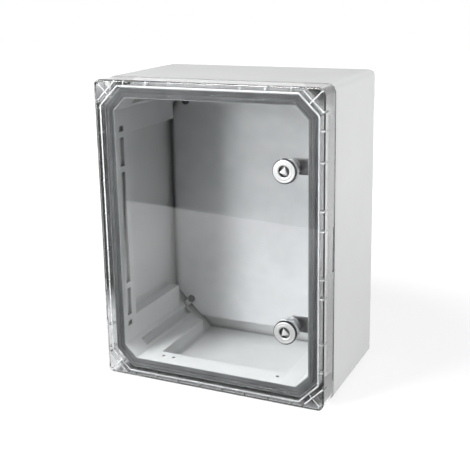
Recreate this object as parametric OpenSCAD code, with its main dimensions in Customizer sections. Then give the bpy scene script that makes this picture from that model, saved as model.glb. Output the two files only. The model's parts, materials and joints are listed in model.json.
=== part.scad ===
// Wall-mounted plastic electrical cabinet: moulded body, clear hinged door, two quarter-turn locks.
// X runs across the cabinet, Y from the door to the wall, Z up from the surface it stands on.

/* [Overall] */
// Width over the body
box_w = 310; // [260:1:420]
// Height over the body
box_h = 400; // [340:1:600]
// Depth from the door's front face to the back
box_d = 200; // [160:1:280]
// Radius of the four long outer corners
corner_r = 10; // [7:0.5:14]
// Radius of the edges round the back
back_edge_r = 5; // [2:0.5:8]

/* [Body] */
// Thickness of the side walls
wall = 3; // [2.5:0.1:4]
// Thickness of the back wall
back_wall = 4; // [3:0.1:6]
// Thickness of the shoulder that carries the collar
shoulder_t = 4; // [3.5:0.1:6]
// Open seam between the door's skirt and the body's shoulder
seam_gap = 0.6; // [0.5:0.1:1.5]
// From the body's sides in to the collar's outer face
collar_inset = 10.5; // [10:0.1:14]
// Width of the collar's front face
collar_w = 13.5; // [12:0.1:18]
// From the door's front face back to the collar's front face
collar_depth = 10; // [8:0.1:16]
// Corner of the collar's outer face, as the sum of its distances from the two sides
collar_corner = 45; // [40:0.5:60]
// Corner of the columns and of the opening, as the sum of its distances from the two sides
column_corner = 65; // [64:0.5:90]
// Flat strip beside each column on the side walls, before the recessed panel starts
strip_side = 33; // [20:0.5:40]
// Flat strip beside each column on the top and bottom, before the recessed panel starts
strip_end = 22; // [14:0.5:30]
// Radius along the foot of the recessed panels
panel_r = 5; // [2:0.5:7]
// From the rear ends of the flat strips to the mounting plate
strip_gap = 13; // [8:0.5:20]
// Radius of the groove along each column
groove_r = 6; // [3:0.5:8]
// Set-back of the wall-screw wells behind the collar's outer corner
well_setback = 1.5; // [1:0.1:4]
// Length of each core hole in the back of a column
core_l = 14; // [8:0.5:18]
// Width of each core hole in the back of a column
core_w = 8; // [4:0.5:10]
// From the column's middle to the near end of a core hole
core_offset = 10; // [9:0.5:14]

/* [Collar details] */
// Depth of the slots and pilot holes in the collar's inner faces
slot_depth = 4; // [1:0.1:5]
// Width of the slots in the collar's side faces
slot_w = 10; // [4:0.5:11]
// From the collar's front face back to the slots' middle
slot_set = 14.5; // [12:0.5:20]
// Length of the middle slot in each side face
slot_l = 152; // [100:1:160]
// Length of the slots above and below it
end_slot_l = 38; // [20:1:40]
// Length of the small pocket at each end of the row of slots
pocket_l = 7; // [4:0.5:10]
// Plain stretch between neighbouring slots
slot_bridge = 8; // [5:0.5:10]
// Radius of the pilot holes in the collar
pilot_r = 2.4; // [1:0.1:2.6]
// Width between the pilot holes in the sill and in the head
sill_pilot_pitch = 166; // [120:1:180]
// From the collar's front face back to the pilot holes in the sill and in the head
sill_pilot_set = 19; // [12:0.5:24]
// From the sill's left pilot hole to the one beside it
second_pilot = 15; // [8:0.5:24]

/* [Gasket] */
// Bare lip between the gasket and the collar's inner face
lip_w = 1; // [0.8:0.1:4]
// From the collar's outer face in to the gasket
gasket_inset = 0.9; // [0.8:0.1:3]
// Depth of the gasket's groove
gasket_groove = 5; // [3:0.1:7]
// Height that the gasket stands out of its groove
gasket_proud = 0.4; // [0.2:0.1:0.8]

/* [Door] */
// From the body's sides in to the door's sides
door_inset = 0.6; // [0.4:0.1:1.5]
// Thickness of the door's front
door_t = 3; // [2.5:0.1:4]
// Thickness of the door's skirt
skirt_t = 2.5; // [2:0.1:3]
// Depth of the skirt, from the door's front face
skirt_depth = 36; // [32:0.5:48]
// Radius of the edge round the door's front
door_edge_r = 2.5; // [1:0.1:3]
// Thickness of the door's octagonal ribs
rib_t = 2; // [1.5:0.1:2.5]
// Depth of the outer rib behind the door's front
outer_rib_h = 11; // [8:0.5:14]
// Room between the outer rib and the collar
rib_gap = 1.3; // [1:0.1:2]
// Room between the pressing rib and the gasket
press_gap = 0.3; // [0.3:0.1:0.6]
// Thickness of the cross ribs
cross_t = 1.6; // [1.2:0.1:2.4]
// Heights of the cross ribs of the door's lock side, above and below the middle
lock_side_ribs = [54, 112, 149]; // [20:1:240]
// Heights of the cross ribs of the door's hinge side, above and below the middle
hinge_side_ribs = [24, 68, 131, 163]; // [20:1:240]
// Width between the cross ribs of the door's top and bottom
end_rib_pitch = 32; // [28:1:40]
// From the corner in to the small rib across it, as the sum of its distances from the two sides
corner_rib = 31; // [28:0.5:34]
// Length of the finger hold in the door's free edge
pull_l = 56; // [40:1:64]
// Depth of the finger hold
pull_depth = 6; // [4:0.5:9]

/* [Hinges] */
// Height between the middles of the two hinges
hinge_pitch = 200; // [180:1:240]
// Length of each door knuckle
door_knuckle_l = 18; // [12:0.5:24]
// Length of each body knuckle
body_knuckle_l = 22; // [16:0.5:30]
// Radius of the knuckles
knuckle_r = 4.5; // [4.2:0.1:4.6]
// Radius of the hinge pins
pin_r = 2; // [1.5:0.1:2.2]
// Room round the pins in the door's knuckles
pin_gap = 0.3; // [0.3:0.05:0.5]
// Interference of the pins in the body's knuckles
pin_press = 0.02; // [0.01:0.01:0.05]
// Room between neighbouring knuckles
knuckle_gap = 0.5; // [0.4:0.1:1]
// Length of pin left out of each outer knuckle
pin_end = 1; // [0.5:0.1:2]
// Angle that the door opens to
open_angle = 110; // [92:1:120]
// Room between the open door's skirt and the body's side
swing_gap = 0.9; // [0.5:0.1:2]
// Depth of the pockets that the door's knuckles swing into
relief_depth = 2; // [2:0.1:2.6]

/* [Locks] */
// Height between the two locks
lock_pitch = 201; // [160:1:220]
// From the body's right side in to the locks
lock_inset = 49; // [45:0.5:60]
// Radius of the lock's flange
flange_r = 15; // [13.5:0.1:17]
// Thickness of the lock's flange
flange_t = 4.8; // [3.5:0.1:6]
// Bevel round the flange's front
flange_bevel = 1; // [0.5:0.1:1.5]
// Radius of the threaded barrel
barrel_r = 10.8; // [10:0.1:11.5]
// Distance across the barrel's two flats
barrel_flats = 20; // [18:0.1:20.5]
// Length of barrel behind the door's front face
barrel_l = 24; // [20:0.5:26]
// Room round the barrel in the door
barrel_gap = 0.2; // [0.1:0.05:0.4]
// Radius of the rubber seal under the flange
seal_r = 14.4; // [13:0.1:14.8]
// Thickness of the seal
seal_t = 1.2; // [0.8:0.1:2]
// Distance across the nut's flats
nut_flats = 28; // [26:0.5:32]
// Thickness of the nut
nut_t = 6; // [4:0.5:8]
// Radius of the core's head
core_head_r = 6.6; // [6.2:0.1:7.5]
// Length of the core's head
core_head_l = 6; // [4:0.5:8]
// Depth of the well in front of the core's head
well_depth = 5; // [3.5:0.1:5.5]
// Radius of the core's shaft
core_r = 5; // [4.8:0.1:5.5]
// Room round the core in the barrel
core_gap = 0.3; // [0.3:0.05:0.4]
// Side of the triangular drive
drive_side = 10.5; // [7:0.5:11]
// Turn of the triangular drives in the upper and the lower lock
drive_turn = [15, -15]; // [-60:1:60]
// Set-back of the drive from the flange's face
drive_set = 0.6; // [0.3:0.1:1.5]
// Side of the square that turns the cam
square_side = 6.8; // [6:0.1:7]
// Room round the square in the cam
square_gap = 0.1; // [0.05:0.05:0.2]
// From the end of the barrel to the cam
cam_set = 5; // [4:0.5:6]
// Thickness of the cam
cam_t = 3; // [2:0.1:3.5]
// Width of the cam
cam_w = 20; // [17:0.5:22]
// Room between the cam's end and the collar's inner face
cam_gap = 1.1; // [0.8:0.1:2]
// Radius of the washer behind the cam
washer_r = 8; // [7:0.1:9]
// Thickness of the washer
washer_t = 1.2; // [0.8:0.1:2]
// Radius of the cam screw's shank
screw_r = 2.5; // [2:0.1:2.6]
// Length of the shank inside the core
screw_l = 12; // [8:0.5:16]
// Distance across the flats of the cam screw's head
screw_flats = 8; // [7:0.5:10]
// Height of the cam screw's head
screw_head_t = 3.5; // [2.5:0.1:4]
// Room round the shanks in their holes
shank_gap = 0.05; // [0.03:0.01:0.1]

/* [Mounting plate] */
// Thickness of the plate
plate_t = 2; // [1.5:0.1:3]
// From the back wall's inner face to the plate
plate_stand = 16; // [12:0.5:24]
// From the body's sides in to the plate's sides
plate_side = 18; // [15:0.5:20]
// From the body's bottom and top in to the plate's ends
plate_end = 26; // [22:0.5:30]
// Room between the plate's cut corners and the columns
plate_corner_gap = 11; // [4:0.5:12]
// From the body's sides in to the plate screws
plate_screw_side = 38; // [36:0.5:44]
// From the body's bottom and top in to the plate screws
plate_screw_end = 50; // [48:0.5:56]
// Radius of the bosses under the plate
boss_r = 7; // [6:0.1:8]
// Thickness of the web between each boss and its column
boss_web = 8; // [4:0.5:12]
// Radius of the plate screws' heads
plate_head_r = 5.5; // [4.5:0.1:6]
// Height of the plate screws' heads
plate_head_t = 3.2; // [2.5:0.1:4]
// Radius of the plate screws' shanks
plate_shank_r = 2.4; // [2:0.1:3]
// Length of the plate screws' shanks
plate_shank_l = 14; // [10:0.5:15]
// Radius of the holes in the plate
plate_hole_r = 2.8; // [2.5:0.1:4]

/* [Wall fixing] */
// From the body's sides in to the wall-screw holes
wall_hole_in = 16; // [14:0.5:18]
// Radius of the wall-screw holes
wall_hole_r = 3.5; // [2.5:0.1:4]

/* [Hidden] */
$fn = 96;

// Spare length that carries a cut clear through a face
over = 1;
mid_z = box_h / 2;
// The lock's flange stands in front of the door, and the origin is the middle of the whole depth
proud = flange_t + seal_t;
front_y = (proud - box_d) / 2;

// Depths behind the door's front face
shoulder_y = skirt_depth + seam_gap;
cavity_y = shoulder_y + shoulder_t;
back_in_y = box_d - back_wall;
plate_y = back_in_y - plate_stand - plate_t;
axis_y = skirt_depth - knuckle_r;
axis_x = -box_w / 2 + door_inset + knuckle_r;

// The collar's inner face, and the door's ribs beside it, as distances in from the body's sides
collar_in = collar_inset + collar_w;
gasket_w = collar_w - gasket_inset - lip_w;
outer_rib_in = collar_inset - rib_gap;
press_rib_in = collar_inset + gasket_inset + (gasket_w - rib_t) / 2;
skirt_in = door_inset + skirt_t;

// Middle heights of the hinges and the locks, upper first
hinge_z = [mid_z + hinge_pitch / 2, mid_z - hinge_pitch / 2];
lock_z = [mid_z + lock_pitch / 2, mid_z - lock_pitch / 2];
lock_x = box_w / 2 - lock_inset;
hinge_l = body_knuckle_l + 2 * (door_knuckle_l + knuckle_gap);

// The skirt ends this far in front of the hinge axis, so that the open door clears the body's side
skirt_cutback = (door_inset + knuckle_r * (1 - cos(open_angle)) + swing_gap) / sin(open_angle);

// Ends of the recessed panels, as distances in from the sides and from the bottom and top
panel_side = column_corner - collar_in + strip_end;
panel_end = column_corner - collar_in + strip_side;
strip_y = plate_y - strip_gap;

// Depths along a lock, behind the door's front face
core_face = well_depth - proud;
core_step = core_face + core_head_l;
cam_y = barrel_l + cam_set;
cam_reach = lock_inset - collar_in - cam_gap;

// Corner of an octagon that runs beside the collar's outer face at another distance from the sides
function corner_at(inset) = collar_corner + (inset - collar_inset) * sqrt(2);

// Holes and pegs in the four corners of a pattern that is centred on the cabinet
module at_corners(in_x, in_z) {
    for (sx = [-1, 1], sz = [-1, 1])
        translate([sx * (box_w / 2 - in_x), mid_z + sz * (box_h / 2 - in_z)]) children();
}

// An outline in X and Z, drawn out between two depths
module between(y0, y1) {
    translate([0, y1, 0]) rotate([90, 0, 0]) linear_extrude(y1 - y0) children();
}

// Rounded rectangle about the cabinet's middle, set in from the sides and from the bottom and top
module rounded_window(side, end, r) {
    w = box_w - 2 * side;
    h = box_h - 2 * end;
    translate([0, mid_z]) {
        square([w - 2 * r, h], center = true);
        square([w, h - 2 * r], center = true);
        for (sx = [-1, 1], sz = [-1, 1])
            translate([sx * (w / 2 - r), sz * (h / 2 - r)]) circle(r);
    }
}

module outline(inset, r) {
    rounded_window(inset, inset, r);
}

// Rectangle with cut corners, set in from the body's sides
module octagon(inset, corner, end_inset = -1) {
    ends = end_inset < 0 ? inset : end_inset;
    x = box_w / 2 - inset;
    leg = corner - inset - ends;
    polygon([
        [leg - x, ends], [x - leg, ends], [x, ends + leg], [x, box_h - ends - leg],
        [x - leg, box_h - ends], [leg - x, box_h - ends], [-x, box_h - ends - leg], [-x, ends + leg]
    ]);
}

// Band of even width between two octagons beside the collar
module octagon_band(outer_inset, width) {
    difference() {
        octagon(outer_inset, corner_at(outer_inset));
        octagon(outer_inset + width, corner_at(outer_inset + width));
    }
}

// Side profile of a block whose edges at one end are rounded, with its length along the first axis
module rounded_end(length, width, r) {
    translate([0, -width / 2]) square([length - r, width]);
    translate([0, r - width / 2]) square([length, width - 2 * r]);
    for (s = [-1, 1])
        translate([length - r, s * (width / 2 - r)]) circle(r);
}

// Block with rounded long corners and rounded edges at one end, toward the wall when turn is 1
module soft_block(inset, r, edge_r, y0, y1, turn) {
    root = turn > 0 ? y0 : y1;
    w = box_w - 2 * inset;
    h = box_h - 2 * inset;
    intersection() {
        between(y0, y1) outline(inset, r);
        translate([0, root, inset]) rotate([0, 0, turn * 90])
            linear_extrude(h) rounded_end(y1 - y0, w, edge_r);
        translate([-w / 2, root, mid_z]) rotate([90 - turn * 90, 0, 0]) rotate([0, 90, 0])
            linear_extrude(w) rotate(90) rounded_end(y1 - y0, h, edge_r);
    }
}

// One lock's pieces stand about its axis, with depth along the local Z
module at_lock(z) {
    translate([lock_x, 0, z]) rotate([-90, 0, 0]) children();
}

module barrel_outline(gap) {
    intersection() {
        circle(barrel_r + gap);
        square([barrel_flats + 2 * gap, 4 * barrel_r], center = true);
    }
}

module hexagon(flats) {
    circle(flats / sqrt(3), $fn = 6);
}

module knuckle(length) {
    translate([axis_x, axis_y, -length / 2]) cylinder(length, knuckle_r, knuckle_r);
}

// Inside of the body: the collar's octagon, with a recessed panel in each of the four walls
module cavity_outline() {
    octagon(collar_in, column_corner);
    rounded_window(wall, panel_end, panel_r);
    rounded_window(panel_side, wall, panel_r);
}

// Corner columns: wells for the wall screws in front, core holes from behind, a groove inside
module column_wells() {
    between(shoulder_y - over, back_in_y) intersection() {
        outline(wall, corner_r - wall);
        difference() {
            outline(0, corner_r);
            octagon(0, collar_corner - well_setback);
        }
    }
}

module column_cores() {
    near = (collar_corner - well_setback) / sqrt(2) + wall;
    between(cavity_y, box_d + over)
        for (sx = [-1, 1], sz = [-1, 1], side = [-1, 1])
            translate([sx * box_w / 2, mid_z + sz * box_h / 2])
                rotate(atan2(-sz, -sx))
                    translate([near, side * (core_offset + core_l / 2) - core_l / 2])
                        square([core_w, core_l]);
}

// The flat strips are hollow from behind
module strip_cores() {
    start = column_corner - collar_in + 2 * wall;
    deep = collar_in - 2 * wall;
    side_l = panel_end - wall - start;
    end_l = panel_side - wall - start;
    between(cavity_y, strip_y + over) {
        at_corners(wall + deep / 2, start + side_l / 2) square([deep, side_l], center = true);
        at_corners(start + end_l / 2, wall + deep / 2) square([end_l, deep], center = true);
    }
}

// Each groove has a pilot hole at its front end
module column_grooves() {
    reach = column_corner / 2;
    groove_y = cavity_y + shoulder_t;
    between(groove_y, plate_y) at_corners(reach, reach) circle(groove_r);
    for (sx = [-1, 1], sz = [-1, 1])
        translate([sx * (box_w / 2 - reach), groove_y + pilot_r, mid_z + sz * (box_h / 2 - reach)])
            rotate([0, atan2(sx, sz), 0]) cylinder(groove_r + slot_depth, pilot_r, pilot_r);
}

// Slots and pilot holes in the collar's inner faces
module collar_details() {
    slot_y = collar_depth + slot_set;
    end_slot_at = (slot_l + end_slot_l) / 2 + slot_bridge;
    pocket_at = end_slot_at + (end_slot_l + pocket_l) / 2 + slot_bridge;
    row = [
        [0, slot_l], [end_slot_at, end_slot_l], [-end_slot_at, end_slot_l],
        [pocket_at, pocket_l], [-pocket_at, pocket_l]
    ];
    for (sx = [-1, 1]) {
        face = sx * (box_w / 2 - collar_in);
        for (slot = row)
            translate([face, slot_y, mid_z + slot[0]])
                cube([2 * slot_depth, slot_w, slot[1]], center = true);
        for (z = [collar_in, box_h - collar_in])
            translate([sx * sill_pilot_pitch / 2, collar_depth + sill_pilot_set, z])
                cylinder(2 * slot_depth, pilot_r, pilot_r, center = true);
    }
    translate([second_pilot - sill_pilot_pitch / 2, collar_depth + sill_pilot_set, collar_in])
        cylinder(2 * slot_depth, pilot_r, pilot_r, center = true);
}

// Bosses under the mounting plate, each joined to its column by a web
module plate_bosses() {
    between(back_in_y - plate_stand, back_in_y + back_wall / 2) {
        at_corners(plate_screw_side, plate_screw_end) circle(boss_r);
        for (sx = [-1, 1], sz = [-1, 1])
            translate([sx * (box_w / 2 - plate_screw_side), mid_z + sz * (box_h / 2 - plate_screw_end)])
                rotate(atan2(sz, sx)) translate([0, -boss_web / 2])
                    square([(plate_screw_side + plate_screw_end - column_corner) / sqrt(2) + over, boss_web]);
    }
}

// The body's knuckles stand on the collar and the shoulder, with pockets for the door's knuckles
module body_knuckles() {
    for (z = hinge_z)
        translate([0, 0, z]) {
            knuckle(body_knuckle_l);
            translate([axis_x, axis_y - knuckle_r, -body_knuckle_l / 2])
                cube([
                    collar_inset - door_inset - knuckle_r + over,
                    shoulder_y - axis_y + knuckle_r + over,
                    body_knuckle_l
                ]);
        }
}

module knuckle_pockets() {
    pocket_l = door_knuckle_l + 2 * knuckle_gap;
    for (z = hinge_z, side = [-1, 1])
        translate([-box_w / 2 - over, shoulder_y - over,
            z + side * (body_knuckle_l + pocket_l) / 2 - pocket_l / 2])
            cube([over + door_inset + 2 * knuckle_r + knuckle_gap, relief_depth + over, pocket_l]);
}

module enclosure_body() {
    color("gainsboro") translate([0, front_y, 0]) difference() {
        union() {
            difference() {
                union() {
                    soft_block(0, corner_r, back_edge_r, shoulder_y, box_d, 1);
                    between(collar_depth, cavity_y) octagon(collar_inset, collar_corner);
                }
                between(cavity_y, back_in_y) cavity_outline();
                between(strip_y, back_in_y) octagon(wall, column_corner);
                strip_cores();
                between(collar_depth - over, cavity_y + over) octagon(collar_in, column_corner);
            }
            plate_bosses();
            body_knuckles();
        }
        column_wells();
        column_cores();
        column_grooves();
        collar_details();
        knuckle_pockets();
        between(collar_depth - over, collar_depth + gasket_groove)
            octagon_band(collar_inset + gasket_inset, gasket_w);
        between(back_in_y - over, box_d + over)
            at_corners(wall_hole_in, wall_hole_in) circle(wall_hole_r);
        between(plate_y, plate_y + plate_t + plate_shank_l + over)
            at_corners(plate_screw_side, plate_screw_end) circle(plate_shank_r + shank_gap);
        for (z = hinge_z)
            translate([axis_x, axis_y, z])
                cylinder(body_knuckle_l + over, pin_r - pin_press, pin_r - pin_press, center = true);
    }
}

module mounting_plate() {
    color("lightgray") translate([0, front_y, 0]) between(plate_y, plate_y + plate_t) difference() {
        octagon(plate_side, column_corner + plate_corner_gap * sqrt(2), plate_end);
        at_corners(plate_screw_side, plate_screw_end) circle(plate_hole_r);
    }
}

module plate_screws() {
    color("dimgray") translate([0, front_y, 0])
        for (sx = [-1, 1], sz = [-1, 1])
            translate([sx * (box_w / 2 - plate_screw_side), plate_y, mid_z + sz * (box_h / 2 - plate_screw_end)])
                rotate([-90, 0, 0]) {
                    difference() {
                        translate([0, 0, -plate_head_t]) cylinder(plate_head_t, plate_head_r * 0.8, plate_head_r);
                        for (turn = [0, 90])
                            rotate(turn) translate([0, 0, -plate_head_t])
                                cube([plate_head_r, plate_shank_r / 2, plate_head_t], center = true);
                    }
                    cylinder(plate_t + plate_shank_l, plate_shank_r, plate_shank_r);
                }
}

module rim_gasket() {
    color("slategray") translate([0, front_y, 0])
        between(collar_depth - gasket_proud, collar_depth + gasket_groove)
            octagon_band(collar_inset + gasket_inset, gasket_w);
}

module hinge_pin(z) {
    color("silver") translate([axis_x, front_y + axis_y, z])
        cylinder(hinge_l + 2 * pin_end, pin_r, pin_r, center = true);
}

// Ribs on the back of the door: an octagon round the collar, one that presses the gasket, and cross ribs
module door_ribs() {
    root = door_t - over;
    straight_x = box_w / 2 - collar_corner + collar_inset;
    between(root, door_t + outer_rib_h) {
        octagon_band(outer_rib_in - rib_t, rib_t);
        difference() {
            intersection() {
                outline(skirt_in - skirt_t / 2, corner_r - skirt_t / 2);
                union() {
                    for (z = concat([pull_l / 2 + cross_t], lock_side_ribs), sz = [-1, 1])
                        translate([box_w / 2, mid_z + sz * z])
                            square([4 * collar_inset, cross_t], center = true);
                    for (z = hinge_side_ribs, sz = [-1, 1])
                        translate([-box_w / 2, mid_z + sz * z])
                            square([4 * collar_inset, cross_t], center = true);
                    for (sz = [-1, 1], x = [end_rib_pitch / 2 : end_rib_pitch : straight_x], sx = [-1, 1])
                        translate([sx * x, mid_z + sz * box_h / 2])
                            square([cross_t, 4 * collar_inset], center = true);
                    for (sx = [-1, 1], sz = [-1, 1])
                        translate([sx * box_w / 2, mid_z + sz * box_h / 2]) rotate(atan2(-sz, -sx))
                            square([2 * collar_corner, cross_t], center = true);
                    difference() {
                        octagon(0, corner_rib);
                        octagon(0, corner_rib + cross_t * sqrt(2));
                    }
                }
            }
            octagon(outer_rib_in - rib_t / 2, corner_at(outer_rib_in - rib_t / 2));
        }
    }
    between(root, collar_depth - gasket_proud - press_gap) octagon_band(press_rib_in, rib_t);
}

module door_knuckles() {
    side = -box_w / 2 + door_inset;
    for (z = hinge_z, end = [-1, 1])
        translate([0, 0, z + end * (body_knuckle_l + 2 * knuckle_gap + door_knuckle_l) / 2]) {
            knuckle(door_knuckle_l);
            translate([side, axis_y - skirt_cutback - over, -door_knuckle_l / 2])
                cube([knuckle_r, skirt_cutback + over, door_knuckle_l]);
        }
}

module door() {
    color([0.86, 0.9, 0.92, 0.35]) translate([0, front_y, 0]) difference() {
        union() {
            difference() {
                soft_block(door_inset, corner_r, door_edge_r, 0, skirt_depth, -1);
                between(door_t, skirt_depth + over) outline(skirt_in, corner_r - skirt_t);
                translate([-box_w / 2 - over, axis_y - skirt_cutback, -over])
                    cube([over + door_inset + knuckle_r + over, skirt_depth, box_h + 2 * over]);
                translate([box_w / 2 - skirt_in - over, skirt_depth - pull_depth, mid_z - pull_l / 2])
                    cube([2 * skirt_in, skirt_depth, pull_l]);
            }
            door_ribs();
            door_knuckles();
        }
        for (z = hinge_z)
            translate([axis_x, axis_y, z])
                cylinder(hinge_l + over, pin_r + pin_gap, pin_r + pin_gap, center = true);
        for (z = lock_z)
            at_lock(z) translate([0, 0, -over]) linear_extrude(door_t + 2 * over) barrel_outline(barrel_gap);
    }
}

module lock_housing(z) {
    color("gainsboro") translate([0, front_y, 0]) at_lock(z) difference() {
        union() {
            translate([0, 0, -proud]) cylinder(flange_bevel, flange_r - flange_bevel, flange_r);
            translate([0, 0, flange_bevel - proud]) cylinder(flange_t - flange_bevel, flange_r, flange_r);
            translate([0, 0, -seal_t - over]) linear_extrude(barrel_l + seal_t + over) barrel_outline(0);
        }
        translate([0, 0, -proud - over])
            cylinder(core_step + core_gap + proud + over, core_head_r + core_gap, core_head_r + core_gap);
        cylinder(barrel_l + over, core_r + core_gap, core_r + core_gap);
    }
}

module lock_seal(z) {
    color("black") translate([0, front_y, 0]) at_lock(z) translate([0, 0, -seal_t])
        linear_extrude(seal_t) difference() {
            circle(seal_r);
            barrel_outline(barrel_gap);
        }
}

module lock_nut(z) {
    color("silver") translate([0, front_y, 0]) at_lock(z) translate([0, 0, door_t])
        linear_extrude(nut_t) difference() {
            hexagon(nut_flats);
            circle(barrel_r + shank_gap);
        }
}

module lock_core(z, turn) {
    color("silver") translate([0, front_y, 0]) at_lock(z) difference() {
        union() {
            translate([0, 0, drive_set - proud]) linear_extrude(well_depth - drive_set + over)
                rotate(30 + turn) circle(drive_side / sqrt(3), $fn = 3);
            translate([0, 0, core_face]) cylinder(core_head_l, core_head_r, core_head_r);
            translate([0, 0, core_face]) cylinder(cam_y - core_face, core_r, core_r);
            translate([0, 0, cam_y - over]) linear_extrude(cam_t + over) square(square_side, center = true);
        }
        translate([0, 0, cam_y + cam_t - screw_l])
            cylinder(screw_l + over, screw_r + shank_gap, screw_r + shank_gap);
    }
}

module lock_cam(z) {
    color("darkgray") translate([0, front_y, 0]) at_lock(z) translate([0, 0, cam_y])
        linear_extrude(cam_t) difference() {
            union() {
                circle(cam_w / 2);
                intersection() {
                    circle(cam_reach);
                    translate([0, -cam_w / 2]) square([cam_reach, cam_w]);
                }
            }
            square(square_side + 2 * square_gap, center = true);
        }
}

module cam_washer(z) {
    color("silver") translate([0, front_y, 0]) at_lock(z) translate([0, 0, cam_y + cam_t])
        linear_extrude(washer_t) difference() {
            circle(washer_r);
            circle(screw_r + shank_gap);
        }
}

module cam_screw(z) {
    color("silver") translate([0, front_y, 0]) at_lock(z) translate([0, 0, cam_y + cam_t + washer_t]) {
        linear_extrude(screw_head_t) hexagon(screw_flats);
        translate([0, 0, -screw_l]) cylinder(screw_l, screw_r, screw_r);
    }
}

enclosure_body();
mounting_plate();
plate_screws();
rim_gasket();
hinge_pin(hinge_z[0]);  // upper_hinge_pin
hinge_pin(hinge_z[1]);  // lower_hinge_pin
door();
lock_housing(lock_z[0]);  // upper_lock_housing
lock_housing(lock_z[1]);  // lower_lock_housing
lock_seal(lock_z[0]);  // upper_lock_seal
lock_seal(lock_z[1]);  // lower_lock_seal
lock_nut(lock_z[0]);  // upper_lock_nut
lock_nut(lock_z[1]);  // lower_lock_nut
lock_core(lock_z[0], drive_turn[0]);  // upper_lock_core
lock_core(lock_z[1], drive_turn[1]);  // lower_lock_core
lock_cam(lock_z[0]);  // upper_lock_cam
lock_cam(lock_z[1]);  // lower_lock_cam
cam_washer(lock_z[0]);  // upper_cam_washer
cam_washer(lock_z[1]);  // lower_cam_washer
cam_screw(lock_z[0]);  // upper_cam_screw
cam_screw(lock_z[1]);  // lower_cam_screw
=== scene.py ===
import json
import math

import bmesh
import bpy
from mathutils import Matrix, Vector


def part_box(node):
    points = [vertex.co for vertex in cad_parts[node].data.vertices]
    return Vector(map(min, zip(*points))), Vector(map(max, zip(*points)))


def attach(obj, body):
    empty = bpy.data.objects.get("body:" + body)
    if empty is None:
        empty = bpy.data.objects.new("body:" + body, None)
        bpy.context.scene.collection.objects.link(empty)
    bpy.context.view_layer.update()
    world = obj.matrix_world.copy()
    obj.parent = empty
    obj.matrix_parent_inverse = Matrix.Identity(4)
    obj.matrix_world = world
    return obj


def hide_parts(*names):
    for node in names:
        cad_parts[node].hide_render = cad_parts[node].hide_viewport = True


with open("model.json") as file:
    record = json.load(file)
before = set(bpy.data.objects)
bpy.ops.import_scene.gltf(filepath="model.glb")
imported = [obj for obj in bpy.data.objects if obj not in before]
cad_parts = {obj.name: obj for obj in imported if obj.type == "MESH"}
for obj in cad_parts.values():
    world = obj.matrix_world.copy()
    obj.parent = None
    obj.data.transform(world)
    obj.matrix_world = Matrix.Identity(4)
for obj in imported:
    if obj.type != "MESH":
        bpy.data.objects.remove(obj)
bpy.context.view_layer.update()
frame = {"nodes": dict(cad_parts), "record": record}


# Places and sizes from the frame, in millimetres

MM = 0.001
X, Y, Z = range(3)


def limits(node, axis):
    return [round(corner[axis] / MM, 3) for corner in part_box(node)]


def span(node, axis):
    low, high = limits(node, axis)
    return round(high - low, 3)


def joint_place(name):
    joints = {joint["name"]: joint for joint in frame["record"]["behaviour"]["joints"]}
    return [round(value / MM, 3) for value in joints[name]["pos_m"]]


# Finishes

WHITE = (1, 1, 1, 1)
BLACK = (0, 0, 0, 1)


def new_finish(name):
    finish = bpy.data.materials.new(name)
    finish.use_nodes = True
    tree = finish.node_tree
    shader = tree.nodes["Principled BSDF"]
    place = tree.nodes.new("ShaderNodeTexCoord")
    return finish, tree, shader, place.outputs["Object"]


def grain(tree, place, scale, detail):
    noise = tree.nodes.new("ShaderNodeTexNoise")
    noise.inputs["Scale"].default_value = scale
    noise.inputs["Detail"].default_value = detail
    tree.links.new(place, noise.inputs["Vector"])
    return noise.outputs["Fac"]


def maths(tree, operation, *values):
    node = tree.nodes.new("ShaderNodeMath")
    node.operation = operation
    for socket, value in zip(node.inputs, values):
        if isinstance(value, (int, float)):
            socket.default_value = value
        else:
            tree.links.new(value, socket)
    return node.outputs["Value"]


def split_place(tree, place):
    split = tree.nodes.new("ShaderNodeSeparateXYZ")
    tree.links.new(place, split.inputs["Vector"])
    return split.outputs


def spread(tree, value, low, high, start=0.3, end=0.7):
    ranged = tree.nodes.new("ShaderNodeMapRange")
    ranged.inputs["From Min"].default_value = start
    ranged.inputs["From Max"].default_value = end
    ranged.inputs["To Min"].default_value = low
    ranged.inputs["To Max"].default_value = high
    tree.links.new(value, ranged.inputs["Value"])
    return ranged.outputs["Result"]


def shades(tree, value, dark, light, start=0.3, end=0.7):
    ramp = tree.nodes.new("ShaderNodeValToRGB")
    ramp.color_ramp.elements[0].position = start
    ramp.color_ramp.elements[0].color = (*dark, 1)
    ramp.color_ramp.elements[1].position = end
    ramp.color_ramp.elements[1].color = (*light, 1)
    tree.links.new(value, ramp.inputs["Fac"])
    return ramp.outputs["Color"]


def relief(tree, shader, height, strength, depth, edge_r=0):
    bump = tree.nodes.new("ShaderNodeBump")
    bump.inputs["Strength"].default_value = strength
    bump.inputs["Distance"].default_value = depth * MM
    tree.links.new(height, bump.inputs["Height"])
    if edge_r:
        edge = tree.nodes.new("ShaderNodeBevel")
        edge.samples = 6
        edge.inputs["Radius"].default_value = edge_r * MM
        tree.links.new(edge.outputs["Normal"], bump.inputs["Normal"])
    tree.links.new(bump.outputs["Normal"], shader.inputs["Normal"])


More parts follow.
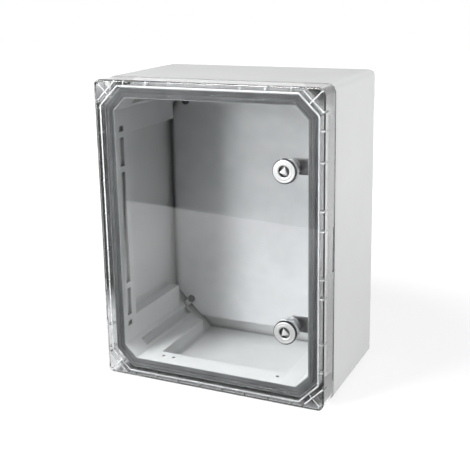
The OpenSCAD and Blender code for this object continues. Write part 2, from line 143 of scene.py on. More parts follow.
def body_plastic():
    finish, tree, shader, place = new_finish("body_plastic")
    cloud = grain(tree, place, scale=9, detail=3)
    spark = grain(tree, place, scale=1500, detail=2)
    # Painted shade: ambient occlusion darkens the base colour in corners, slots, wells and recesses
    corners = tree.nodes.new("ShaderNodeAmbientOcclusion")
    corners.samples = 8
    corners.inputs["Distance"].default_value = 9 * MM
    plain = shades(tree, cloud, dark=(0.56, 0.564, 0.564), light=(0.59, 0.594, 0.594))
    closeness = corners.outputs["AO"]
    painted_corner_shade = shades(tree, closeness, dark=(0.45, 0.45, 0.45), light=(1, 1, 1), start=0.45, end=0.9)
    shaded_colour = tree.nodes.new("ShaderNodeMix")
    shaded_colour.data_type = "RGBA"
    shaded_colour.blend_type = "MULTIPLY"
    shaded_colour.inputs["Factor"].default_value = 1
    tree.links.new(plain, shaded_colour.inputs["A"])
    tree.links.new(painted_corner_shade, shaded_colour.inputs["B"])
    tree.links.new(shaded_colour.outputs["Result"], shader.inputs["Base Color"])
    tree.links.new(spread(tree, spark, 0.42, 0.6), shader.inputs["Roughness"])
    shader.inputs["Specular IOR Level"].default_value = 0.3
    relief(tree, shader, spark, strength=0.25, depth=0.05, edge_r=0.8)
    return finish


# Clear plastic passes most light through its broad faces and less through its edges
def lets_light_through(tree, shader):
    facing = tree.nodes.new("ShaderNodeNewGeometry").outputs["True Normal"]
    flat = maths(tree, "ABSOLUTE", split_place(tree, facing)["Y"])
    passed = shades(tree, flat, dark=(0.55, 0.55, 0.55), light=(0.94, 0.95, 0.95), start=0.2, end=0.9)
    path = tree.nodes.new("ShaderNodeLightPath")
    open_way = tree.nodes.new("ShaderNodeBsdfTransparent")
    mix = tree.nodes.new("ShaderNodeMixShader")
    tree.links.new(passed, open_way.inputs["Color"])
    tree.links.new(path.outputs["Is Shadow Ray"], mix.inputs["Fac"])
    tree.links.new(shader.outputs["BSDF"], mix.inputs[1])
    tree.links.new(open_way.outputs["BSDF"], mix.inputs[2])
    tree.links.new(mix.outputs["Shader"], tree.nodes["Material Output"].inputs["Surface"])


def clear_plastic():
    finish, tree, shader, place = new_finish("clear_plastic")
    flow = grain(tree, place, scale=14, detail=2)
    haze = grain(tree, place, scale=240, detail=3)
    tint = shades(tree, flow, dark=(0.915, 0.92, 0.925), light=(0.945, 0.95, 0.955))
    tree.links.new(tint, shader.inputs["Base Color"])
    shader.inputs["Transmission Weight"].default_value = 1
    shader.inputs["IOR"].default_value = 1.58
    tree.links.new(spread(tree, haze, 0.0, 0.03), shader.inputs["Roughness"])
    relief(tree, shader, flow, strength=0.005, depth=2, edge_r=0.25)
    lets_light_through(tree, shader)
    return finish


def frosted_plastic():
    finish, tree, shader, place = new_finish("frosted_plastic")
    frost = grain(tree, place, scale=900, detail=3)
    tint = shades(tree, frost, dark=(0.9, 0.905, 0.91), light=(0.96, 0.965, 0.97))
    tree.links.new(tint, shader.inputs["Base Color"])
    tree.links.new(spread(tree, frost, 0.4, 0.6), shader.inputs["Roughness"])
    shader.inputs["Transmission Weight"].default_value = 0.15
    relief(tree, shader, frost, strength=0.3, depth=0.05)
    lets_light_through(tree, shader)
    return finish


def gasket_foam():
    finish, tree, shader, place = new_finish("gasket_foam")
    cells = grain(tree, place, scale=1900, detail=2)
    cloud = grain(tree, place, scale=60, detail=2)
    tint = shades(tree, cloud, dark=(0.05, 0.052, 0.054), light=(0.075, 0.077, 0.079))
    tree.links.new(tint, shader.inputs["Base Color"])
    tree.links.new(spread(tree, cells, 0.6, 0.85), shader.inputs["Roughness"])
    relief(tree, shader, cells, strength=0.5, depth=0.2)
    return finish


def seal_rubber():
    finish, tree, shader, place = new_finish("seal_rubber")
    cloud = grain(tree, place, scale=300, detail=2)
    tint = shades(tree, cloud, dark=(0.008, 0.008, 0.008), light=(0.018, 0.018, 0.018))
    tree.links.new(tint, shader.inputs["Base Color"])
    tree.links.new(spread(tree, cloud, 0.5, 0.7), shader.inputs["Roughness"])
    relief(tree, shader, cloud, strength=0.2, depth=0.1)
    return finish


def metal(name, dark, light, rough, scale, share=1.0, gloss=0.5):
    finish, tree, shader, place = new_finish(name)
    shader.inputs["Metallic"].default_value = share
    shader.inputs["Specular IOR Level"].default_value = gloss
    cloud = grain(tree, place, scale, detail=4)
    tree.links.new(shades(tree, cloud, dark, light), shader.inputs["Base Color"])
    tree.links.new(spread(tree, cloud, *rough), shader.inputs["Roughness"])
    relief(tree, shader, cloud, strength=0.08, depth=0.1)
    return finish


finishes = {
    "body_plastic": body_plastic(),
    "clear_plastic": clear_plastic(),
    "gasket_foam": gasket_foam(),
    "seal_rubber": seal_rubber(),
    "plate_steel": metal(
        "plate_steel", (0.5, 0.505, 0.51), (0.55, 0.555, 0.56),
        rough=(0.5, 0.65), scale=45, share=0, gloss=0.2,
    ),
    "dark_screw_steel": metal(
        "dark_screw_steel", (0.05, 0.05, 0.055), (0.12, 0.12, 0.13), rough=(0.3, 0.5), scale=300
    ),
    "bright_steel": metal(
        "bright_steel", (0.5, 0.51, 0.52), (0.62, 0.63, 0.64), rough=(0.25, 0.4), scale=200
    ),
    "lock_chrome": metal(
        "lock_chrome", (0.7, 0.705, 0.71), (0.76, 0.765, 0.77), rough=(0.3, 0.4), scale=350, share=0.4
    ),
}
# Painted reflection: the barrel, part of the chrome lock housing, is coloured dark grey in place of the dark
# surroundings it mirrors
barrel_painted_dark = metal("barrel_painted_dark", (0.2, 0.2, 0.205), (0.32, 0.32, 0.325), rough=(0.35, 0.5), scale=160)
core_zinc = metal(
    "core_zinc", (0.26, 0.26, 0.265), (0.34, 0.34, 0.345), rough=(0.4, 0.55), scale=220, share=0.4
)
band_black = metal(
    "band_black", (0.012, 0.012, 0.013), (0.03, 0.03, 0.032), rough=(0.35, 0.5), scale=240, share=0
)
frosted = frosted_plastic()
cam_steel = metal("cam_steel", (0.26, 0.26, 0.265), (0.36, 0.36, 0.365), rough=(0.35, 0.5), scale=90)

for subpart in frame["record"]["subparts"]:
    node = frame["nodes"][subpart["node"]]
    node.material_slots[0].material = finishes[subpart["material_slot"]]


# Modelling, with lengths in millimetres

# Share of a direction along an axis that counts as running along it
ALONG = 0.99
# Spare length that carries a cut clear through a face
OVER = 2
# Length of the taper at a screw's end, and how far it draws in
POINT_L = 0.8
POINT_IN = 0.7


def pick_only(piece):
    bpy.ops.object.select_all(action="DESELECT")
    piece.select_set(True)
    bpy.context.view_layer.objects.active = piece


def set_down(name):
    piece = bpy.context.object
    piece.name = name
    bpy.ops.object.transform_apply(location=True, rotation=True, scale=True)
    return piece


def pick(piece, kind, wanted):
    bpy.ops.mesh.select_mode(type=kind)
    bpy.ops.mesh.select_all(action="DESELECT")
    shape = bmesh.from_edit_mesh(piece.data)
    for element in {"VERT": shape.verts, "EDGE": shape.edges, "FACE": shape.faces}[kind]:
        element.select_set(wanted(element))
    bmesh.update_edit_mesh(piece.data)


def along(edge, axis):
    run = (edge.verts[1].co - edge.verts[0].co).normalized()
    return abs(run[axis]) > ALONG


def point_outwards():
    bpy.ops.mesh.select_all(action="SELECT")
    bpy.ops.mesh.normals_make_consistent(inside=False)


# A round piece about an axis, through rings of a place along the axis and a radius
def turned(name, axis, centre, rings, sides=64):
    bpy.ops.object.select_all(action="DESELECT")
    lie = (math.pi / 2, 0, 0) if axis == Y else (0, 0, 0)
    middle = [c * MM for c in centre]
    middle[axis] = rings[0][0] * MM
    bpy.ops.mesh.primitive_circle_add(vertices=sides, radius=rings[0][1] * MM, location=middle, rotation=lie)
    piece = set_down(name)
    bpy.ops.object.mode_set(mode="EDIT")
    bpy.ops.mesh.select_mode(type="VERT")
    bpy.ops.mesh.select_all(action="SELECT")
    for (place, radius), (next_place, next_radius) in zip(rings, rings[1:]):
        step = [0, 0, 0]
        step[axis] = (next_place - place) * MM
        middle[axis] = next_place * MM
        grow = [next_radius / radius] * 3
        grow[axis] = 1
        bpy.ops.mesh.extrude_region_move(TRANSFORM_OT_translate={"value": step})
        bpy.ops.transform.resize(value=grow, center_override=middle)
    bpy.ops.mesh.select_all(action="SELECT")
    bpy.ops.mesh.remove_doubles(threshold=0.002 * MM)
    bpy.ops.mesh.select_all(action="SELECT")
    bpy.ops.mesh.fill_holes(sides=0)
    point_outwards()
    bpy.ops.object.mode_set(mode="OBJECT")
    return piece


def block(name, low, high):
    bpy.ops.object.select_all(action="DESELECT")
    middle = [(a + b) / 2 * MM for a, b in zip(low, high)]
    bpy.ops.mesh.primitive_cube_add(size=1, location=middle)
    bpy.context.object.scale = [(b - a) * MM for a, b in zip(low, high)]
    return set_down(name)


def hexagon(name, centre, across, front, back):
    bpy.ops.object.select_all(action="DESELECT")
    bpy.ops.mesh.primitive_cylinder_add(
        vertices=6,
        radius=across / math.sqrt(3) * MM,
        depth=(back - front) * MM,
        location=(centre[X] * MM, (front + back) / 2 * MM, centre[Z] * MM),
        rotation=(math.pi / 2, math.pi / 6, 0),
    )
    return set_down(name)


def combine(piece, tool, way):
    change = piece.modifiers.new("combine", "BOOLEAN")
    change.operation = way
    change.solver = "EXACT"
    change.object = tool
    pick_only(piece)
    bpy.ops.object.modifier_apply(modifier=change.name)
    bpy.data.objects.remove(tool)


def soften(piece, width):
    bevel = piece.modifiers.new("soften", "BEVEL")
    bevel.width = width * MM
    bevel.segments = 2
    bevel.limit_method = "ANGLE"
    bevel.angle_limit = math.radians(40)
    pick_only(piece)
    bpy.ops.object.modifier_apply(modifier=bevel.name)


def join(piece, other):
    pick_only(piece)
    other.select_set(True)
    bpy.ops.object.join()


def copied(piece, name, step):
    pick_only(piece)
    bpy.ops.object.duplicate(linked=False)
    bpy.context.object.location = [s * MM for s in step]
    return set_down(name)


def dress(piece, finish, body, node):
    pick_only(piece)
    bpy.ops.object.shade_smooth_by_angle(angle=math.radians(35))
    piece.data.materials.clear()
    piece.data.materials.append(finish)
    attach(piece, body)
    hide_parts(node)


# Locks

LOCK_AXIS = joint_place("upper_lock_turn")
LOCK_X = LOCK_AXIS[X]
LOCK_Z = LOCK_AXIS[Z]
LOCK_SPACING = LOCK_Z - joint_place("lower_lock_turn")[Z]

# Depths along the lock's axis
DOOR_FRONT = limits("door", Y)[0]
LOCK_FRONT, BARREL_END = limits("upper_lock_housing", Y)
FLANGE_BACK = limits("upper_lock_seal", Y)[0]
NUT_FRONT, NUT_BACK = limits("upper_lock_nut", Y)
DRIVE_FRONT = limits("upper_lock_core", Y)[0]
CAM_FRONT, CAM_BACK = limits("upper_lock_cam", Y)
WASHER_BACK = limits("upper_cam_washer", Y)[1]
SHANK_END, SCREW_BACK = limits("upper_cam_screw", Y)
FACE_BACK = LOCK_FRONT + 1.5
BAND_FRONT = LOCK_FRONT + 1.1
CORE_FACE = LOCK_FRONT + 5
CORE_STEP = CORE_FACE + 6


def lock_reach(node):
    return round(limits(node, X)[1] - LOCK_X, 3)


# Radii and widths
FLANGE_R = lock_reach("upper_lock_housing")
SEAL_R = lock_reach("upper_lock_seal")
CORE_HEAD_R = lock_reach("upper_lock_core")
CAM_REACH = lock_reach("upper_lock_cam")
WASHER_R = lock_reach("upper_cam_washer")
CAM_R = span("upper_lock_cam", Z) / 2
NUT_FLATS = span("upper_lock_nut", Z)
SCREW_FLATS = span("upper_cam_screw", Z)
BAND_INNER_R = 13.5
BARREL_R = 10.8
BARREL_FLAT = 10
BORE_R = 5.4
CORE_R = 5
DRIVE_SIDE = 10.5
DRIVE_ROUNDING = 0.7
DRIVE_TURN = 15
SQUARE_SIDE = 6.8
SHANK_R = 2.5

# Room round the core, the barrel, the cam's square and the cam screw's shank
CORE_GAP = 0.3
SEAL_GAP = 0.25
NUT_GAP = 0.05
SQUARE_GAP = 0.1
WASHER_GAP = 0.1

# Corners of the first thread groove, as distances from the barrel's end and depths
THREAD_GROOVE = ((0.7, 0), (1, 0.45), (1.2, 0.45), (1.5, 0))
THREAD_TURNS = 14
THREAD_PITCH = 1

# Corners of the lock face's section, as distances in front of its back and radii
FACE_SECTION = (
    (0.4, 13.4), (0.4, 13.8), (1.0, 13.8), (1.35, 13.5), (1.5, 13), (1.5, 11.5),
    (1.4, 11.3), (1.4, 10.8), (1.5, 10.6), (1.5, 7.9), (1.3, 7.4), (0.8, 7),
)


def lock_barrel():
    bevel = 0.5
    well_r = CORE_HEAD_R + CORE_GAP
    well_end = CORE_STEP + CORE_GAP
    rings = [(BARREL_END, BORE_R), (BARREL_END, BARREL_R - bevel), (BARREL_END - bevel, BARREL_R)]
    for turn in range(THREAD_TURNS):
        for back, depth in THREAD_GROOVE:
            rings.append((BARREL_END - back - turn * THREAD_PITCH, BARREL_R - depth))
    rings += [(FLANGE_BACK, BARREL_R), (FLANGE_BACK, BAND_INNER_R), (FACE_BACK, BAND_INNER_R)]
    rings += [(FACE_BACK, well_r), (well_end, well_r), (well_end, BORE_R), (BARREL_END, BORE_R)]
    barrel = turned("upper_lock_barrel", Y, LOCK_AXIS, rings)
    clear = FLANGE_R + OVER
    for side in (-1, 1):
        near, far = sorted((side * BARREL_FLAT, side * clear))
        low = (LOCK_X + near, FLANGE_BACK, LOCK_Z - clear)
        high = (LOCK_X + far, BARREL_END + OVER, LOCK_Z + clear)
        combine(barrel, block("flat", low, high), "DIFFERENCE")
    return barrel


def flange_band():
    back_bevel = 0.4
    front_bevel = 0.5
    front_taper = 0.3
    rings = [(FLANGE_BACK, BAND_INNER_R), (FLANGE_BACK, FLANGE_R - back_bevel)]
    rings += [(FLANGE_BACK - back_bevel, FLANGE_R), (BAND_FRONT + front_bevel, FLANGE_R)]
    rings += [(BAND_FRONT, FLANGE_R - front_taper), (BAND_FRONT, BAND_INNER_R), (FLANGE_BACK, BAND_INNER_R)]
    return turned("upper_flange_band", Y, LOCK_AXIS, rings, sides=96)


def lock_face():
    inner_r = 7
    outer_r = 13.4
    rings = [(FACE_BACK, inner_r), (FACE_BACK, outer_r)]
    rings += [(FACE_BACK - forward, radius) for forward, radius in FACE_SECTION]
    rings.append((FACE_BACK, inner_r))
    return turned("upper_lock_face", Y, LOCK_AXIS, rings, sides=96)


# A flat ring between two depths, with its outer edges eased
def flat_ring(name, first, last, inner_r, outer_r, ease):
    draw_in = 0.2
    run = math.copysign(ease, last - first)
    eased_r = outer_r - draw_in
    rings = [(first, inner_r), (first, eased_r), (first + run, outer_r)]
    rings += [(last - run, outer_r), (last, eased_r), (last, inner_r), (first, inner_r)]
    return turned(name, Y, LOCK_AXIS, rings)


def lock_seal_ring():
    return flat_ring("upper_seal_ring", DOOR_FRONT, FLANGE_BACK, BARREL_R + SEAL_GAP, SEAL_R, ease=0.25)


def cam_washer_ring():
    return flat_ring("upper_washer_ring", CAM_BACK, WASHER_BACK, SHANK_R + WASHER_GAP, WASHER_R, ease=0.2)


def lock_nut_hexagon():
    nut = hexagon("upper_nut_hexagon", LOCK_AXIS, NUT_FLATS, NUT_FRONT, NUT_BACK)
    tip_r = 12.7
    wide_r = 15.9
    past = 0.5
    slope = 1.6
    cone = [(NUT_FRONT - past, tip_r), (NUT_FRONT - past + slope, wide_r)]
    cone += [(NUT_BACK + past - slope, wide_r), (NUT_BACK + past, tip_r)]
    combine(nut, turned("cone", Y, LOCK_AXIS, cone), "INTERSECT")
    bore_r = BARREL_R + NUT_GAP
    bore = [(NUT_FRONT - OVER, bore_r), (NUT_BACK + OVER, bore_r)]
    combine(nut, turned("bore", Y, LOCK_AXIS, bore), "DIFFERENCE")
    soften(nut, width=0.3)
    return nut


def square_peg(name, side, front, back):
    half = side / 2
    return block(name, (LOCK_X - half, front, LOCK_Z - half), (LOCK_X + half, back, LOCK_Z + half))


def core_shaft():
    bevel = 0.4
    rings = [(CORE_FACE, CORE_HEAD_R - bevel), (CORE_FACE + bevel, CORE_HEAD_R), (CORE_STEP, CORE_HEAD_R)]
    rings += [(CORE_STEP, CORE_R), (CAM_FRONT, CORE_R)]
    shaft = turned("upper_core_shaft", Y, LOCK_AXIS, rings)
    square = square_peg("square", SQUARE_SIDE, CAM_FRONT, CAM_BACK)
    soften(square, width=0.4)
    join(shaft, square)
    return shaft


def core_drive(name, height, turn):
    bpy.ops.object.select_all(action="DESELECT")
    bpy.ops.mesh.primitive_circle_add(
        vertices=3,
        radius=DRIVE_SIDE / math.sqrt(3) * MM,
        fill_type="NGON",
        location=(LOCK_X * MM, CORE_FACE * MM, height * MM),
        rotation=(math.pi / 2, math.radians(turn), 0),
    )
    drive = set_down(name)
    step = (0, (DRIVE_FRONT - CORE_FACE) * MM, 0)
    bpy.ops.object.mode_set(mode="EDIT")
    bpy.ops.mesh.select_all(action="SELECT")
    bpy.ops.mesh.extrude_region_move(TRANSFORM_OT_translate={"value": step})
    point_outwards()
    pick(drive, "EDGE", lambda edge: along(edge, Y))
    bpy.ops.mesh.bevel(offset=DRIVE_ROUNDING * MM, segments=4)
    bpy.ops.object.mode_set(mode="OBJECT")
    soften(drive, width=0.3)
    return drive


# A disc with its right half drawn out, cut to the arc that the cam's end sweeps
def cam_blade():
    draw = 26
    past_middle = 0.1
    blade = turned("upper_cam_blade", Y, LOCK_AXIS, [(CAM_FRONT, CAM_R), (CAM_BACK, CAM_R)], sides=96)
    bpy.ops.object.mode_set(mode="EDIT")
    pick(blade, "VERT", lambda vertex: vertex.co.x > (LOCK_X + past_middle) * MM)
    bpy.ops.transform.translate(value=(draw * MM, 0, 0))
    bpy.ops.object.mode_set(mode="OBJECT")
    front = CAM_FRONT - OVER
    back = CAM_BACK + OVER
    swept = turned("swept_end", Y, LOCK_AXIS, [(front, CAM_REACH), (back, CAM_REACH)], sides=128)
    combine(blade, swept, "INTERSECT")
    combine(blade, square_peg("hole", SQUARE_SIDE + 2 * SQUARE_GAP, front, back), "DIFFERENCE")
    soften(blade, width=0.4)
    return blade


def cam_screw_hexagon():
    screw = hexagon("upper_screw_hexagon", LOCK_AXIS, SCREW_FLATS, WASHER_BACK, SCREW_BACK)
    tip_r = 3.114
    wide_r = 5
    past = 0.5
    slope = 1.2
    cone = [(WASHER_BACK - past, wide_r), (SCREW_BACK + past - slope, wide_r), (SCREW_BACK + past, tip_r)]
    combine(screw, turned("cone", Y, LOCK_AXIS, cone), "INTERSECT")
    sunk = 0.1
    shank = [(WASHER_BACK - sunk, SHANK_R), (SHANK_END + POINT_L, SHANK_R), (SHANK_END, SHANK_R - POINT_IN)]
    join(screw, turned("shank", Y, LOCK_AXIS, shank, sides=32))
    return screw


lock_pieces = (
    (lock_barrel(), barrel_painted_dark, "door", "lock_housing", "lock_chrome"),
    (flange_band(), band_black, "door", "lock_housing", "lock_chrome"),
    (lock_face(), finishes["lock_chrome"], "door", "lock_housing", "lock_chrome"),
    (lock_seal_ring(), finishes["seal_rubber"], "door", "lock_seal", "seal_rubber"),
    (lock_nut_hexagon(), finishes["bright_steel"], "door", "lock_nut", "bright_steel"),
    (core_shaft(), core_zinc, "upper_latch", "lock_core", "lock_chrome"),
    (cam_blade(), cam_steel, "upper_latch", "lock_cam", "plate_steel"),
    (cam_washer_ring(), finishes["bright_steel"], "upper_latch", "cam_washer", "bright_steel"),
    (cam_screw_hexagon(), finishes["bright_steel"], "upper_latch", "cam_screw", "bright_steel"),
)
for piece, finish, body, node, slot in lock_pieces:
    lower = copied(piece, piece.name.replace("upper", "lower"), (0, 0, -LOCK_SPACING))
    dress(piece, finish, body, "upper_" + node)
    dress(lower, finish, body.replace("upper", "lower"), "lower_" + node)
for lock, height, turn in (("upper", LOCK_Z, DRIVE_TURN), ("lower", LOCK_Z - LOCK_SPACING, -DRIVE_TURN)):
    drive = core_drive(lock + "_core_drive", height, turn)
    dress(drive, finishes["lock_chrome"], lock + "_latch", lock + "_lock_core")


# Frosted ends of the door's ribs

RIB_END = DOOR_FRONT + 14
SKIN_GAP = 0.02
SKIN_T = 0.1


# A thin skin over the faces of the door that look back at one depth
def rib_ends(name, depth):
    near = 0.05
    pick_only(frame["nodes"]["door"])
    bpy.ops.object.duplicate(linked=False)
    ends = bpy.context.object
    ends.name = name
    ends.parent = None
    bpy.ops.object.mode_set(mode="EDIT")
    bpy.ops.mesh.select_all(action="SELECT")
    bpy.ops.mesh.remove_doubles(threshold=0.005 * MM)

    def elsewhere(face):
        away = abs(face.calc_center_median().y - depth * MM)
        return face.normal.y < ALONG or away > near * MM

    pick(ends, "FACE", elsewhere)
    bpy.ops.mesh.delete(type="FACE")
    bpy.ops.mesh.select_all(action="SELECT")
    bpy.ops.transform.translate(value=(0, SKIN_GAP * MM, 0))
    bpy.ops.mesh.extrude_region_move(TRANSFORM_OT_translate={"value": (0, SKIN_T * MM, 0)})
    point_outwards()
    bpy.ops.object.mode_set(mode="OBJECT")
    return ends


outer_ends = rib_ends("outer_rib_ends", RIB_END)
outer_ends.data.materials.clear()
outer_ends.data.materials.append(frosted)
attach(outer_ends, "door")


# Plate screws

PLATE_FRONT = limits("mounting_plate", Y)[0]
HEAD_FRONT, POINT_BACK = limits("plate_screws", Y)
HEAD_R = 5.5
PLATE_SHANK_R = 2.4
PLATE_SCREW_X = limits("plate_screws", X)[0] + HEAD_R
PLATE_SCREW_Z = 50
ACROSS = -2 * PLATE_SCREW_X
UPWARD = span("enclosure_body", Z) - 2 * PLATE_SCREW_Z
SLOT_DEPTH = 1.6

# Corners of the screw head's dome, as depths behind its front and radii
HEAD_DOME = ((SLOT_DEPTH, HEAD_R), (0.7, 5.1), (0.2, 4.4), (0, 3.2))


def plate_screw():
    rings = [(POINT_BACK, PLATE_SHANK_R - POINT_IN), (POINT_BACK - POINT_L, PLATE_SHANK_R)]
    rings += [(PLATE_FRONT, PLATE_SHANK_R), (PLATE_FRONT, HEAD_R)]
    rings += [(HEAD_FRONT + depth, radius) for depth, radius in HEAD_DOME]
    screw = turned("plate_screw_1", Y, (PLATE_SCREW_X, 0, PLATE_SCREW_Z), rings, sides=48)
    long_half = 2.9
    short_half = 0.6
    for half_x, half_z in ((long_half, short_half), (short_half, long_half)):
        low = (PLATE_SCREW_X - half_x, HEAD_FRONT - OVER, PLATE_SCREW_Z - half_z)
        high = (PLATE_SCREW_X + half_x, HEAD_FRONT + SLOT_DEPTH, PLATE_SCREW_Z + half_z)
        combine(screw, block("slit", low, high), "DIFFERENCE")
    return screw


first_screw = plate_screw()
plate_screws = [first_screw]
for number, step in enumerate(((ACROSS, 0, 0), (0, 0, UPWARD), (ACROSS, 0, UPWARD)), 2):
    plate_screws.append(copied(first_screw, f"plate_screw_{number}", step))
for screw in plate_screws:
    dress(screw, finishes["dark_screw_steel"], "cabinet", "plate_screws")


# Gasket and hinge pins

GASKET_W = 11.6
GASKET_CORNER = 23.47
GASKET_ROUNDING = 0.35
HINGE_AXIS = joint_place("door_swing")
PIN_LOW, PIN_HIGH = limits("upper_hinge_pin", Z)
PIN_R = span("upper_hinge_pin", X) / 2
HINGE_SPACING = PIN_LOW - limits("lower_hinge_pin", Z)[0]


def gasket_strip():
    low, high = zip(*(limits("rim_gasket", axis) for axis in (X, Y, Z)))
    strip = block("gasket_strip", low, high)
    bpy.ops.object.mode_set(mode="EDIT")
    pick(strip, "EDGE", lambda edge: along(edge, Y))
    bpy.ops.mesh.bevel(offset=GASKET_CORNER * MM, segments=1, clamp_overlap=False)
    pick(strip, "FACE", lambda face: abs(face.normal.y) > ALONG)
    bpy.ops.mesh.inset(thickness=GASKET_W * MM, use_individual=True, use_even_offset=True)
    bpy.ops.mesh.bridge_edge_loops()
    point_outwards()
    near_front = (low[Y] + 0.4) * MM
    sharp_angle = 1

    def front_edge(edge):
        in_front = all(vertex.co.y < near_front for vertex in edge.verts)
        return in_front and edge.calc_face_angle(0) > sharp_angle

    pick(strip, "EDGE", front_edge)
    bpy.ops.mesh.bevel(offset=GASKET_ROUNDING * MM, segments=3, clamp_overlap=False)
    bpy.ops.object.mode_set(mode="OBJECT")
    return strip


def hinge_rod():
    bevel = 0.5
    rings = [(PIN_LOW, PIN_R - bevel), (PIN_LOW + bevel, PIN_R)]
    rings += [(PIN_HIGH - bevel, PIN_R), (PIN_HIGH, PIN_R - bevel)]
    return turned("upper_pin_rod", Z, HINGE_AXIS, rings, sides=32)


dress(gasket_strip(), finishes["gasket_foam"], "cabinet", "rim_gasket")

upper_rod = hinge_rod()
lower_rod = copied(upper_rod, "lower_pin_rod", (0, 0, -HINGE_SPACING))
dress(upper_rod, finishes["bright_steel"], "cabinet", "upper_hinge_pin")
dress(lower_rod, finishes["bright_steel"], "cabinet", "lower_hinge_pin")


# Camera, with angles in degrees, its place in metres and the rest in pixels of the picture

CAMERA_ANGLES = (25.187, 13.947, -1.088)
CAMERA_PLACE = (0.4839, -1.0503, 0.5257)
PICTURE = 470
FOCAL_LENGTH = 896.8
LENS_CENTRE_X = 231.4
LENS_CENTRE_Y = 196


def place_camera():
    turn, rise, roll = (math.radians(angle) for angle in CAMERA_ANGLES)
    view = Vector((-math.sin(turn) * math.cos(rise), math.cos(turn) * math.cos(rise), -math.sin(rise)))
    right = view.cross(Vector((0, 0, 1))).normalized()
    up = right.cross(view)
    right, up = (
        math.cos(roll) * right + math.sin(roll) * up,
        math.cos(roll) * up - math.sin(roll) * right,
    )
    camera = bpy.data.objects.new("camera", bpy.data.cameras.new("camera"))
    bpy.context.scene.collection.objects.link(camera)
    rotation = Matrix((right, up, -view)).transposed().to_4x4()
    camera.matrix_world = Matrix.Translation(CAMERA_PLACE) @ rotation
    camera.data.sensor_width = 36
    camera.data.lens = FOCAL_LENGTH / PICTURE * camera.data.sensor_width
    camera.data.shift_x = (PICTURE / 2 - LENS_CENTRE_X) / PICTURE
    camera.data.shift_y = (LENS_CENTRE_Y - PICTURE / 2) / PICTURE
    bpy.context.scene.camera = camera


place_camera()


# Studio, with lengths in metres

# More passes through the door than any light makes here
NEVER = 99


# True for what the camera sees, straight, mirrored or through the door, and false for light on the object
def straight_sight(tree):
    path = tree.nodes.new("ShaderNodeLightPath").outputs
    direct = maths(tree, "MAXIMUM", path["Is Camera Ray"], path["Is Glossy Ray"])
    direct = maths(tree, "MAXIMUM", direct, path["Is Transmission Ray"])
    return maths(tree, "MULTIPLY", direct, maths(tree, "LESS_THAN", path["Diffuse Depth"], 0.5))


def white_room(ambient_level):
    world = bpy.data.worlds.new("room")
    bpy.context.scene.world = world
    world.use_nodes = True
    tree = world.node_tree
    ambient = tree.nodes["Background"]
    ambient.inputs["Color"].default_value = WHITE
    ambient.inputs["Strength"].default_value = ambient_level
    white = tree.nodes.new("ShaderNodeBackground")
    white.inputs["Strength"].default_value = 1
    white.inputs["Color"].default_value = WHITE
    mix = tree.nodes.new("ShaderNodeMixShader")
    tree.links.new(straight_sight(tree), mix.inputs["Fac"])
    tree.links.new(ambient.outputs["Background"], mix.inputs[1])
    tree.links.new(white.outputs["Background"], mix.inputs[2])
    tree.links.new(mix.outputs["Shader"], tree.nodes["World Output"].inputs["Surface"])


# Zero on the floor under the cabinet, and one beside it
def beside_cabinet(tree, place):
    parts = split_place(tree, place)
    beside_x = spread(tree, maths(tree, "ABSOLUTE", parts["X"]), 0, 1, start=0.142, end=0.15)
    beside_y = spread(tree, maths(tree, "ABSOLUTE", parts["Y"]), 0, 1, start=0.088, end=0.096)
    return maths(tree, "MAXIMUM", beside_x, beside_y)


def glow(tree, shader, level):
    shader.inputs["Specular IOR Level"].default_value = 0
    shader.inputs["Emission Color"].default_value = WHITE
    tree.links.new(maths(tree, "MULTIPLY", level, straight_sight(tree)), shader.inputs["Emission Strength"])


def white_floor(near_level, far_level):
    bpy.ops.object.select_all(action="DESELECT")
    bpy.ops.mesh.primitive_plane_add(size=10)
    floor = bpy.context.object
    floor.name = "floor"
    finish, tree, shader, place = new_finish("floor_white")
    cloud = grain(tree, place, scale=3, detail=2)
    tint = shades(tree, cloud, dark=(0.2, 0.2, 0.2), light=(0.22, 0.22, 0.22))
    tree.links.new(tint, shader.inputs["Base Color"])
    shader.inputs["Roughness"].default_value = 0.9
    reach = tree.nodes.new("ShaderNodeVectorMath")
    reach.operation = "LENGTH"
    tree.links.new(place, reach.inputs[0])
    lift = spread(tree, reach.outputs["Value"], near_level, far_level, start=0.35, end=0.9)
    glow(tree, shader, maths(tree, "MULTIPLY", lift, beside_cabinet(tree, place)))
    floor.data.materials.append(finish)


def studio_card(name, corners):
    bpy.ops.object.select_all(action="DESELECT")
    bpy.ops.mesh.primitive_plane_add(size=1)
    card = bpy.context.object
    card.name = name
    for vertex, corner in zip(card.data.vertices, corners):
        vertex.co = corner
    card.visible_camera = False
    card.visible_diffuse = False
    card.visible_shadow = False
    finish, tree, shader, place = new_finish(name)
    shader.inputs["Base Color"].default_value = BLACK
    card.data.materials.append(finish)
    return tree, shader, split_place(tree, place)


def upright_card(name, x, y, z):
    return studio_card(name, [(side, y, height) for height in z for side in x])


def lying_card(name, x, y, z):
    return studio_card(name, [(side, depth, z) for depth in y for side in x])


# A card has its level in a reflection or after so many passes through the door, and is white otherwise
def shows_in_reflection(tree, shader, level, passes):
    path = tree.nodes.new("ShaderNodeLightPath").outputs
    bounced = maths(tree, "GREATER_THAN", path["Glossy Depth"], 0.5)
    often = maths(tree, "GREATER_THAN", path["Transmission Depth"], passes + 0.5)
    hit = maths(tree, "MAXIMUM", bounced, often)
    white = maths(tree, "SUBTRACT", 1, hit)
    glow(tree, shader, maths(tree, "MULTIPLY_ADD", level, hit, white))


# Each edge has the place where the card has its level, and the place where it has faded to white
def faded(tree, level, *edges):
    for place, dark_at, white_at in edges:
        level = maths(tree, "MAXIMUM", level, spread(tree, place, 0, 1, dark_at, white_at))
    return level


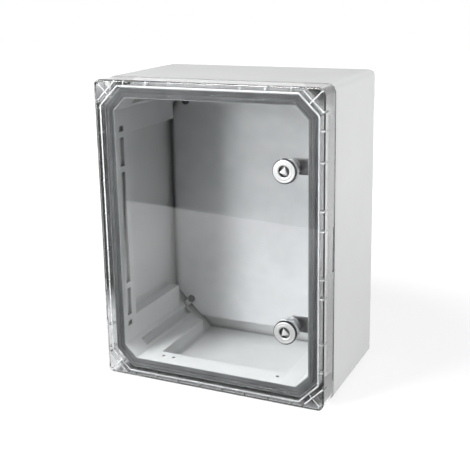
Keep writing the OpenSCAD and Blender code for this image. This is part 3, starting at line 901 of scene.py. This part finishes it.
def dark_cards():
    tree, shader, parts = upright_card("dark_card", x=(-1.6, 0.4), y=-1.1, z=(-0.4, 0.6))
    right_edge = (parts["X"], 0, 0.4)
    left_edge = (parts["X"], -0.9, -1.5)
    top_edge = (parts["Z"], 0.3, 0.6)
    shows_in_reflection(tree, shader, faded(tree, 0.02, right_edge, left_edge, top_edge), passes=NEVER)
    tree, shader, parts = lying_card("dark_floor_card", x=(-1.6, 0.55), y=(-1.11, -0.115), z=0.001)
    right_slant = -0.372
    left_slant = -0.754
    toward_right = maths(tree, "MULTIPLY_ADD", parts["Y"], right_slant, parts["X"])
    toward_left = maths(tree, "MULTIPLY_ADD", parts["Y"], left_slant, parts["X"])
    right_edge = (toward_right, 0.193, 0.543)
    left_edge = (toward_left, -0.065, -0.2)
    shows_in_reflection(tree, shader, faded(tree, 0.0, right_edge, left_edge), passes=NEVER)


def bright_card():
    height = 0.002
    corners = ((-0.633, -0.92), (-0.1, -0.848), (-0.146, -0.125), (0.1, -0.125))
    tree, shader, parts = studio_card("bright_floor_card", [(*corner, height) for corner in corners])
    shows_in_reflection(tree, shader, spread(tree, parts["X"], 1.2, 0, start=-0.4, end=0), passes=NEVER)


def flag_strip():
    tree, shader, parts = upright_card("flag_strip", x=(-0.5, -0.17), y=0.105, z=(0, 0.38))
    top_edge = (parts["Z"], 0.33, 0.38)
    bottom_edge = (parts["Z"], 0.045, -0.005)
    shows_in_reflection(tree, shader, faded(tree, 0.05, top_edge, bottom_edge), passes=2)


def softbox(name, place, aim, size, power):
    light = bpy.data.objects.new(name, bpy.data.lights.new(name, "AREA"))
    bpy.context.scene.collection.objects.link(light)
    light.data.shape = "RECTANGLE"
    light.data.size, light.data.size_y = size
    light.data.energy = power
    light.location = place
    light.rotation_euler = (Vector(aim) - Vector(place)).to_track_quat("-Z", "Y").to_euler()


white_room(ambient_level=0.05)
white_floor(near_level=0.8, far_level=1.1)
dark_cards()
bright_card()
flag_strip()
softbox("key_softbox", place=(-1.12, -2.0, 0.5), aim=(0, 0, 0.2), size=(0.5, 0.9), power=33)
softbox("top_softbox", place=(-0.75, -1.15, 1.9), aim=(0, 0, 0.2), size=(0.6, 0.6), power=43)
softbox("right_softbox", place=(2.0, 0.3, 0.8), aim=(0.15, 0.1, 0.2), size=(1.0, 1.0), power=42)
softbox("back_softbox", place=(-0.8, 2.2, 0.2), aim=(0, 0.1, 0.2), size=(1.0, 0.4), power=24)

bpy.context.scene.view_settings.view_transform = "Standard"
